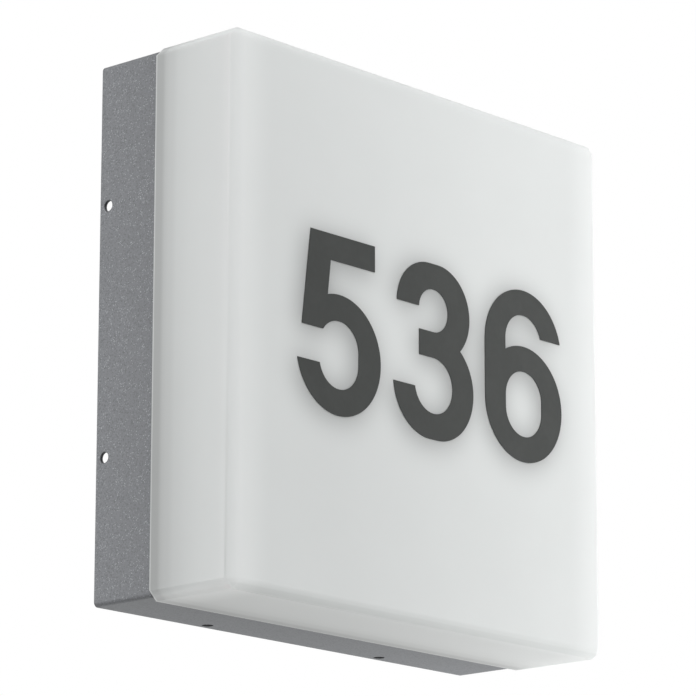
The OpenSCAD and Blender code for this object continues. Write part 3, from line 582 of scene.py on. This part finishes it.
def cutThreads(bm, across, pitch):
    radius, pitch = across / 2 * mm, pitch * mm
    shanks, cutEdges = [], []
    for verts in islands(bm):
        middle = Vector([(min(v.co[k] for v in verts) + max(v.co[k] for v in verts)) / 2 for k in range(3)])
        axis = max(range(3), key=lambda k: sum(abs(v.co[k] - middle[k]) for v in verts) / len(verts))
        found = []
        for e in dict.fromkeys(e for v in verts for e in v.link_edges):
            run = e.verts[1].co - e.verts[0].co
            off = [abs(math.hypot(*offAxis(v.co, middle, axis)) - radius) for v in e.verts]
            least = max(threadCut["parallel"] * run.length, threadCut["shortest"] * mm)
            if max(off) < threadCut["tolerance"] * mm and abs(run[axis]) > least:
                found.append(e)
        ends = [v.co[axis] for e in found for v in e.verts]
        shanks.append((middle, axis, min(ends), max(ends)))
        cutEdges += found
    cuts = round((shanks[0][3] - shanks[0][2]) / pitch * threadCut["rings"]) - 1
    made = bmesh.ops.subdivide_edges(bm, edges=cutEdges, cuts=cuts, use_grid_fill=True)
    for v in (v for v in made["geom_inner"] if isinstance(v, bmesh.types.BMVert)):
        middle, axis, low, high = min(shanks, key=lambda s: math.hypot(*offAxis(v.co, s[0], s[1])))
        along = v.co[axis]
        second, third = offAxis(v.co, middle, axis)
        phase = ((along - low) / pitch - math.atan2(third, second) / (2 * math.pi)) % 1.0
        fade = min(1.0, (along - low) * 2 / pitch, (high - along) * 2 / pitch)
        shrink = 1 - (1 - abs(2 * phase - 1)) * fade * threadCut["share"] * pitch / radius
        v.co = middle + (v.co - middle) * shrink
        v.co[axis] = along


# What a copy of a CAD mesh is cleaned and rounded with, in mm and degrees
copying = {"weld": 0.002, "flat": 0.6, "sharp": 32, "segments": 2}


def cadCopy(bm, node):
    bm.from_mesh(nodes[node].data)
    bmesh.ops.remove_doubles(bm, verts=bm.verts, dist=copying["weld"] * mm)
    bmesh.ops.dissolve_limit(bm, angle_limit=math.radians(copying["flat"]), verts=bm.verts, edges=bm.edges)


def rounded(node, material, bevel):
    def build(bm):
        cadCopy(bm, node)
        least = math.radians(copying["sharp"])
        sharp = [e for e in bm.edges if len(e.link_faces) == 2 and e.calc_face_angle(0) > least]
        bmesh.ops.bevel(bm, geom=sharp, offset=bevel * mm, offset_type="OFFSET", segments=copying["segments"],
                        profile=0.5, affect="EDGES", clamp_overlap=True)
        bmesh.ops.remove_doubles(bm, verts=bm.verts, dist=copying["weld"] * mm)
        if node in threads:
            cutThreads(bm, **threads[node])
        for face in bm.faces:
            face.material_index = 0

    return meshPiece(node + "_finished", build, material, bodyOf[node], (node,), slotOf[node], weighted=True)


digits = ["digit_left", "digit_middle", "digit_right"]


# The opal front has a painted shadow round the number, shifted a little lower and further left.
def filmPoints(pitch):
    points = []
    for node in digits:
        low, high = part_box(node)
        mesh = nodes[node].data
        tree = BVHTree.FromPolygons([v.co for v in mesh.vertices], [p.vertices for p in mesh.polygons])
        for x in np.arange(low.x, high.x, pitch):
            for z in np.arange(low.z, high.z, pitch):
                if tree.ray_cast(Vector((x, -1, z)), Vector((0, 1, 0)))[0]:
                    points.append((x, z))
    return np.array(points)


def opalBody():
    given = opal["shade"]
    grid, pitch, reach, margin = (given[k] * mm for k in ("grid", "sample", "reach", "margin"))
    low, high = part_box("diffuser")
    left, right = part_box(digits[0])[0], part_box(digits[-1])[1]
    columns = np.arange(left.x - margin, min(right.x + margin, high.x - given["roundedEdge"] * mm), grid)
    rows = np.arange(left.z - margin, right.z + margin, grid)

    def onFront(place):
        return abs(place.y - low.y) < copying["weld"] * mm

    def build(bm):
        cadCopy(bm, "diffuser")
        for normal, places in (((1, 0, 0), columns), ((0, 0, 1), rows)):
            for place in places:
                faces = [f for f in bm.faces if onFront(f.calc_center_median()) and f.normal.y < -0.999]
                edges = list(dict.fromkeys(e for f in faces for e in f.edges))
                through = Vector(normal) * place
                bmesh.ops.bisect_plane(bm, geom=faces + edges, plane_co=through, plane_no=normal)
        for face in bm.faces:
            face.material_index = 0

    piece = meshPiece("opal_body", build, finishes["opal_acrylic"], "front", ("diffuser",), "opal_acrylic",
                      smoothAngle=opal["smooth"], weighted=True)
    film = filmPoints(pitch)
    places = [v.co.copy() for v in piece.data.vertices]
    shifted = np.array([(c.x, c.z) for c in places]) + np.array(given["shift"]) * mm
    # painted shadow: the film's coverage, blurred and shifted, darkens the front
    apart = ((shifted[:, None, :] - film[None, :, :]) ** 2).sum(2)
    cover = np.exp(-apart / (2 * reach ** 2)).sum(1) * pitch ** 2 / (2 * math.pi * reach ** 2)
    shade = piece.data.attributes.new(given["name"], "FLOAT", "POINT")
    shade.data.foreach_set("value", np.where([onFront(c) for c in places], cover * given["strength"], 0.0))


# The light source: packages with a lens of phosphor and two metal ends.
# A step is a share of the package's height, and heights in it are shares of the step. A lens ring has its
# radius as a share of the lens, and how far it is sunk. The last three rings are round the phosphor.
chips = {
    "pitch": 26.0, "count": 6, "frame": 0.45, "sides": 20, "step": 0.25, "chamfer": 0.4,
    "lens": 1.15, "lensRings": [(1.08, 0.0), (1.0, 0.6), (0.72, 0.35), (0.38, 0.2)], "phosphorRings": 3,
    "ends": {"from": 0.55, "inset": 0.02, "heights": (0.09, 0.01)},
}


def box(bm, low, high, index):
    made = bmesh.ops.create_cube(bm, size=1.0)["verts"]
    size = [b - a for a, b in zip(low, high)]
    middle = [(a + b) / 2 for a, b in zip(low, high)]
    bmesh.ops.transform(bm, matrix=Matrix.Translation(middle) @ Matrix.Diagonal((*size, 1.0)), verts=made)
    for face in {f for v in made for f in v.link_faces}:
        face.material_index = index


def ledPackages(bm):
    low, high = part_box("led_chips")
    count, pitch = chips["count"], chips["pitch"] * mm
    half = (high.x - low.x - (count - 1) * pitch) / 2
    places = [(k - (count - 1) / 2) * pitch for k in range(count)]
    for x in places:
        for z in places:
            ledPackage(bm, x, z, high.y, low.y, half)


def ledPackage(bm, x, z, rear, front, half):
    sides = chips["sides"]
    step = (rear - front) * chips["step"]
    chamfer = step * chips["chamfer"]
    rings = [(half, rear, "square"), (half, front + chamfer, "square"), (half - chamfer, front, "square")]
    for share, sunk in chips["lensRings"]:
        rings.append((chips["lens"] * mm * share, front + step * sunk, "round"))
    loops = []
    for reach, y, form in rings:
        loop = []
        for s in range(sides):
            turn = 2 * math.pi * (s + 0.5) / sides
            cx, cz = math.cos(turn), math.sin(turn)
            stretch = 1.0 if form == "round" else 1 / max(abs(cx), abs(cz))
            loop.append(bm.verts.new((x + reach * cx * stretch, y, z + reach * cz * stretch)))
        loops.append(loop)
    for level, (near, far) in enumerate(zip(loops, loops[1:])):
        for s in range(sides):
            face = bm.faces.new((near[s], near[(s + 1) % sides], far[(s + 1) % sides], far[s]))
            face.material_index = 1 if level >= len(rings) - chips["phosphorRings"] else 0
    bm.faces.new(loops[-1]).material_index = 1
    bm.faces.new(list(reversed(loops[0]))).material_index = 0
    ends = chips["ends"]
    wall = half - chips["frame"] * mm
    lowY, highY = (rear - height * mm for height in ends["heights"])
    for side in (-1, 1):
        lowX, highX = sorted((x + side * half * ends["from"], x + side * (half - ends["inset"] * mm)))
        box(bm, (lowX, lowY, z - wall), (highX, highY, z + wall), 2)


# Leads: straight runs with round bends, where a pole tells which clamp a lead starts from
leads = {
    "steps": 14, "bend": 4.5, "share": 0.45, "sides": 18, "radius": 0.9,
    "poles": {
        "live_lead": 1, "neutral_lead": 0, "earth_lead": -1, "led_lead_positive": 1, "led_lead_negative": -1,
    },
}


def smoothRoute(points):
    route = [points[0]]
    for before, corner, after in zip(points, points[1:], points[2:]):
        back, ahead = before - corner, after - corner
        start = corner + back.normalized() * min(leads["bend"] * mm, leads["share"] * back.length)
        stop = corner + ahead.normalized() * min(leads["bend"] * mm, leads["share"] * ahead.length)
        for k in range(leads["steps"] + 1):
            t = k / leads["steps"]
            route.append(start * (1 - t) ** 2 + corner * 2 * t * (1 - t) + stop * t * t)
    return route + [points[-1]]


def sweep(bm, route, radius):
    sides = leads["sides"]
    along = [(b - a).normalized() for a, b in zip(route, route[1:])]
    tangents = [along[0]] + [(a + b).normalized() for a, b in zip(along, along[1:])] + [along[-1]]
    across = tangents[0].orthogonal().normalized()
    rings = []
    for point, tangent in zip(route, tangents):
        across = (across - tangent * across.dot(tangent)).normalized()
        other = tangent.cross(across)
        ring = []
        for s in range(sides):
            turn = 2 * math.pi * s / sides
            ring.append(bm.verts.new(point + radius * (across * math.cos(turn) + other * math.sin(turn))))
        rings.append(ring)
    for near, far in zip(rings, rings[1:]):
        for s in range(sides):
            bm.faces.new((near[s], near[(s + 1) % sides], far[(s + 1) % sides], far[s]))
    bm.faces.new(list(reversed(rings[0])))
    bm.faces.new(rings[-1])


def leadRoute(node):
    radius, bend = leads["radius"] * mm, leads["bend"] * mm
    start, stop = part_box(node)
    low, high = start + Vector([radius] * 3), stop - Vector([radius] * 3)
    block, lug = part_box("terminal_block"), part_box("earth_lug")
    poleX = (block[0].x + block[1].x) / 2 + leads["poles"][node] * (block[1].x - block[0].x) / 3
    top = block[1].z
    if node == "earth_lead":
        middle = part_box("terminal_base")[1].x + 2 * bend
        route = [
            (poleX, high.y, top), (poleX, high.y, high.z), (middle, high.y, high.z),
            (lug[0].x - bend, low.y, high.z), (lug[0].x, low.y, high.z)]
    elif node.startswith("led"):
        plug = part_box("board_connector")[0].x
        route = [
            (stop.x, high.y, low.z), (low.x, high.y, low.z), (low.x, high.y, high.z),
            (low.x, low.y, high.z), (plug, low.y, high.z)]
    else:
        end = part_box("driver_cover")[1].x
        route = [
            (poleX, low.y, top), (poleX, low.y, high.z), (high.x, low.y, high.z),
            (high.x, high.y, low.z), (end, high.y, low.z)]
    return [Vector(point) for point in route]


print("materials")
finishes = {
    "housing_coat": powderCoat(),
    "opal_acrylic": opalAcrylic(),
    "number_film": numberFilm(),
    "bracket_zinc": zincPlate(),
    "screw_steel": smallMetal("stainless"),
    "brass": smallMetal("brass"),
    "lug_tin": smallMetal("stainless"),
    "tray_white": trayCoat(),
    "board_white": boardMask(),
    "board_green": greenMask(),
    "connector_ivory": moulded("ivoryMoulding", seen(232, 228, 212)),
    "driver_grey": moulded("driverMoulding", seen(118, 121, 124), grain=0.8, roughness=0.5),
    "driver_lid": moulded("driverLidMoulding", seen(150, 153, 156), grain=0.8, roughness=0.5),
    "box_white": moulded("boxMoulding", seen(228, 229, 226)),
    "box_lid": moulded("boxLidMoulding", seen(214, 215, 213)),
    "transformer_tape": moulded("windingTape", seen(222, 186, 70), roughness=0.3),
    "capacitor_sleeve": moulded("capacitorSleeve", seen(40, 46, 92), roughness=0.25),
    "rubber_grey": rubber(),
    "led_phosphor": phosphor(),
    "lead_brown": insulation("brownInsulation", seen(112, 66, 38)),
    "lead_blue": insulation("blueInsulation", seen(40, 84, 168)),
    "lead_earth": insulation("earthInsulation", seen(104, 152, 40), seen(228, 212, 48)),
    "lead_red": insulation("redInsulation", seen(176, 40, 36)),
    "lead_black": insulation("blackInsulation", seen(38, 38, 40)),
}

print("pieces")
bevels = {
    "wall_bracket": 0.25, "housing": 0.3, "carrier_tray": 0.2, "led_board": 0.12, "board_connector": 0.5,
    "driver_case": 0.5, "driver_cover": 0.6, "terminal_base": 0.3, "terminal_cover": 0.35,
    "terminal_block": 0.25, "cable_grommet": 0.5, "lead_grommet": 0.3, "cord_clamp": 0.4, "earth_lug": 0.1,
    "earth_nut": 0.35, "earth_stud": 0.4, "board_screws": 0.3, "driver_screws": 0.3,
    "terminal_box_screws": 0.3, "cord_clamp_screws": 0.3, "diffuser_screws": 0.4, "diffuser_washers": 0.2,
    "terminal_screws": 0.15, **dict.fromkeys(lockScrews, 0.15), **dict.fromkeys(digits, 0.06),
    "driver_board": 0.12, "driver_transformer": 0.6, "driver_capacitor": 0.6, "terminal_clamps": 0.12,
    "rim_gasket": 0.3,
}
for node, bevel in bevels.items():
    rounded(node, finishes[slotOf[node]], bevel)

opalBody()
packageFinishes = [finishes[slot] for slot in ("connector_ivory", "led_phosphor", "screw_steel")]
meshPiece("led_packages", ledPackages, packageFinishes, "housing", ("led_chips",), "led_phosphor")
for node in leads["poles"]:
    meshPiece(node + "_wire", lambda bm: sweep(bm, smoothRoute(leadRoute(node)), leads["radius"] * mm),
              finishes[slotOf[node]], "housing", (node,), slotOf[node])

# Floor, light and camera
stage = {
    "floor": -2.6, "size": 52.0, "tone": seen(209, 209, 208), "white": 0.85,
    "fade": (3000.0, 14000.0),  # mm from the part, between which the floor fades into the backdrop
}


def makeFloor():
    mesh = bpy.data.meshes.new("studioFloor")
    half = stage["size"] / 2
    corners = [(-half, -half, 0), (half, -half, 0), (half, half, 0), (-half, half, 0)]
    mesh.from_pydata(corners, [], [(0, 1, 2, 3)])
    floor = bpy.data.objects.new("studioFloor", mesh)
    floor.location.z = stage["floor"]
    bpy.context.scene.collection.objects.link(floor)
    f = newFinish("studioFloorPaint")
    diffuse = f.node("BsdfDiffuse", {}, {"Color": stage["tone"]})
    glow = f.node("Emission", {}, {"Color": white, "Strength": 1.0})
    camera = f.node("LightPath", {}, {}, out="Is Camera Ray")
    reach = f.node("VectorMath", {"operation": "LENGTH"}, {0: f.place()}, out="Value")
    far = f.rise(reach, *stage["fade"])
    share = camera * (stage["white"] + far * (1 - stage["white"]))
    shader = f.node("MixShader", {}, {0: share, 1: diffuse, 2: glow})
    f.node("OutputMaterial", {}, {0: shader})
    mesh.materials.append(f.owner)


light = {
    "ambient": 0.86,
    "boxes": {  # places and sizes in metres
        "keySoftbox": {
            "at": (0.60, -0.97, 0.0), "aim": (0.13, -0.085, 0.0), "size": (0.16, 0.80), "watts": 0.152,
            "spread": 23, "mirrored": True,
        },
        "topSoftbox": {
            "at": (-0.08, -0.24, 0.35), "aim": (-0.05, -0.085, 0.08), "size": (0.25, 0.10), "watts": 0.09,
            "spread": 180, "mirrored": True,
        },
        "lowSoftbox": {
            "at": (0.22, -0.06, -0.26), "aim": (0.08, -0.05, -0.125), "size": (0.10, 0.10), "watts": 0.175,
            "spread": 180, "mirrored": False,
        },
    },
}


def makeLight():
    world = bpy.data.worlds.new("studioWorld")
    bpy.context.scene.world = world
    f = Finish(world)
    path = f.node("LightPath", {}, {}).socket.node
    camera, glossy, through = (Wire(f, path.outputs[n]) for n in
                               ("Is Camera Ray", "Is Glossy Ray", "Is Transmission Ray"))
    level = light["ambient"]
    plain = f.node("Background", {}, {"Color": (level, level, level, 1.0)})
    backdrop = f.node("Background", {}, {"Color": white})
    shader = f.node("MixShader", {}, {0: (camera + glossy + through).atMost(1.0), 1: plain, 2: backdrop})
    f.node("OutputWorld", {}, {0: shader})
    for name, given in light["boxes"].items():
        lamp = bpy.data.lights.new(name, "AREA")
        lamp.shape = "RECTANGLE"
        lamp.size, lamp.size_y = given["size"]
        lamp.energy = given["watts"]
        lamp.spread = math.radians(given["spread"])
        lit = bpy.data.objects.new(name, lamp)
        lit.location = given["at"]
        lit.visible_camera = False
        lit.visible_glossy = given["mirrored"]
        lit.rotation_mode = "QUATERNION"
        lit.rotation_quaternion = (Vector(given["aim"]) - Vector(given["at"])).to_track_quat("-Z", "Y")
        bpy.context.scene.collection.objects.link(lit)


# The camera stands low on the left, as the photograph was taken
view = {
    "at": (-1.3279, -1.2420, -0.4387), "along": (0.7185, 0.6518, 0.2426), "roll": 0.07, "lens": 207.8,
    "sensor": 36.0, "clip": (0.05, 60.0),
}


def makeCamera():
    data = bpy.data.cameras.new("viewCamera")
    data.lens = view["lens"]
    data.sensor_width = view["sensor"]
    data.clip_start, data.clip_end = view["clip"]
    camera = bpy.data.objects.new("viewCamera", data)
    camera.location = view["at"]
    camera.rotation_mode = "QUATERNION"
    turn = Vector(view["along"]).to_track_quat("-Z", "Y")
    camera.rotation_quaternion = turn @ Matrix.Rotation(math.radians(view["roll"]), 3, "Z").to_quaternion()
    bpy.context.scene.collection.objects.link(camera)
    bpy.context.scene.camera = camera


print("stage")
makeFloor()
makeLight()
makeCamera()
bpy.context.scene.view_settings.view_transform = "Standard"
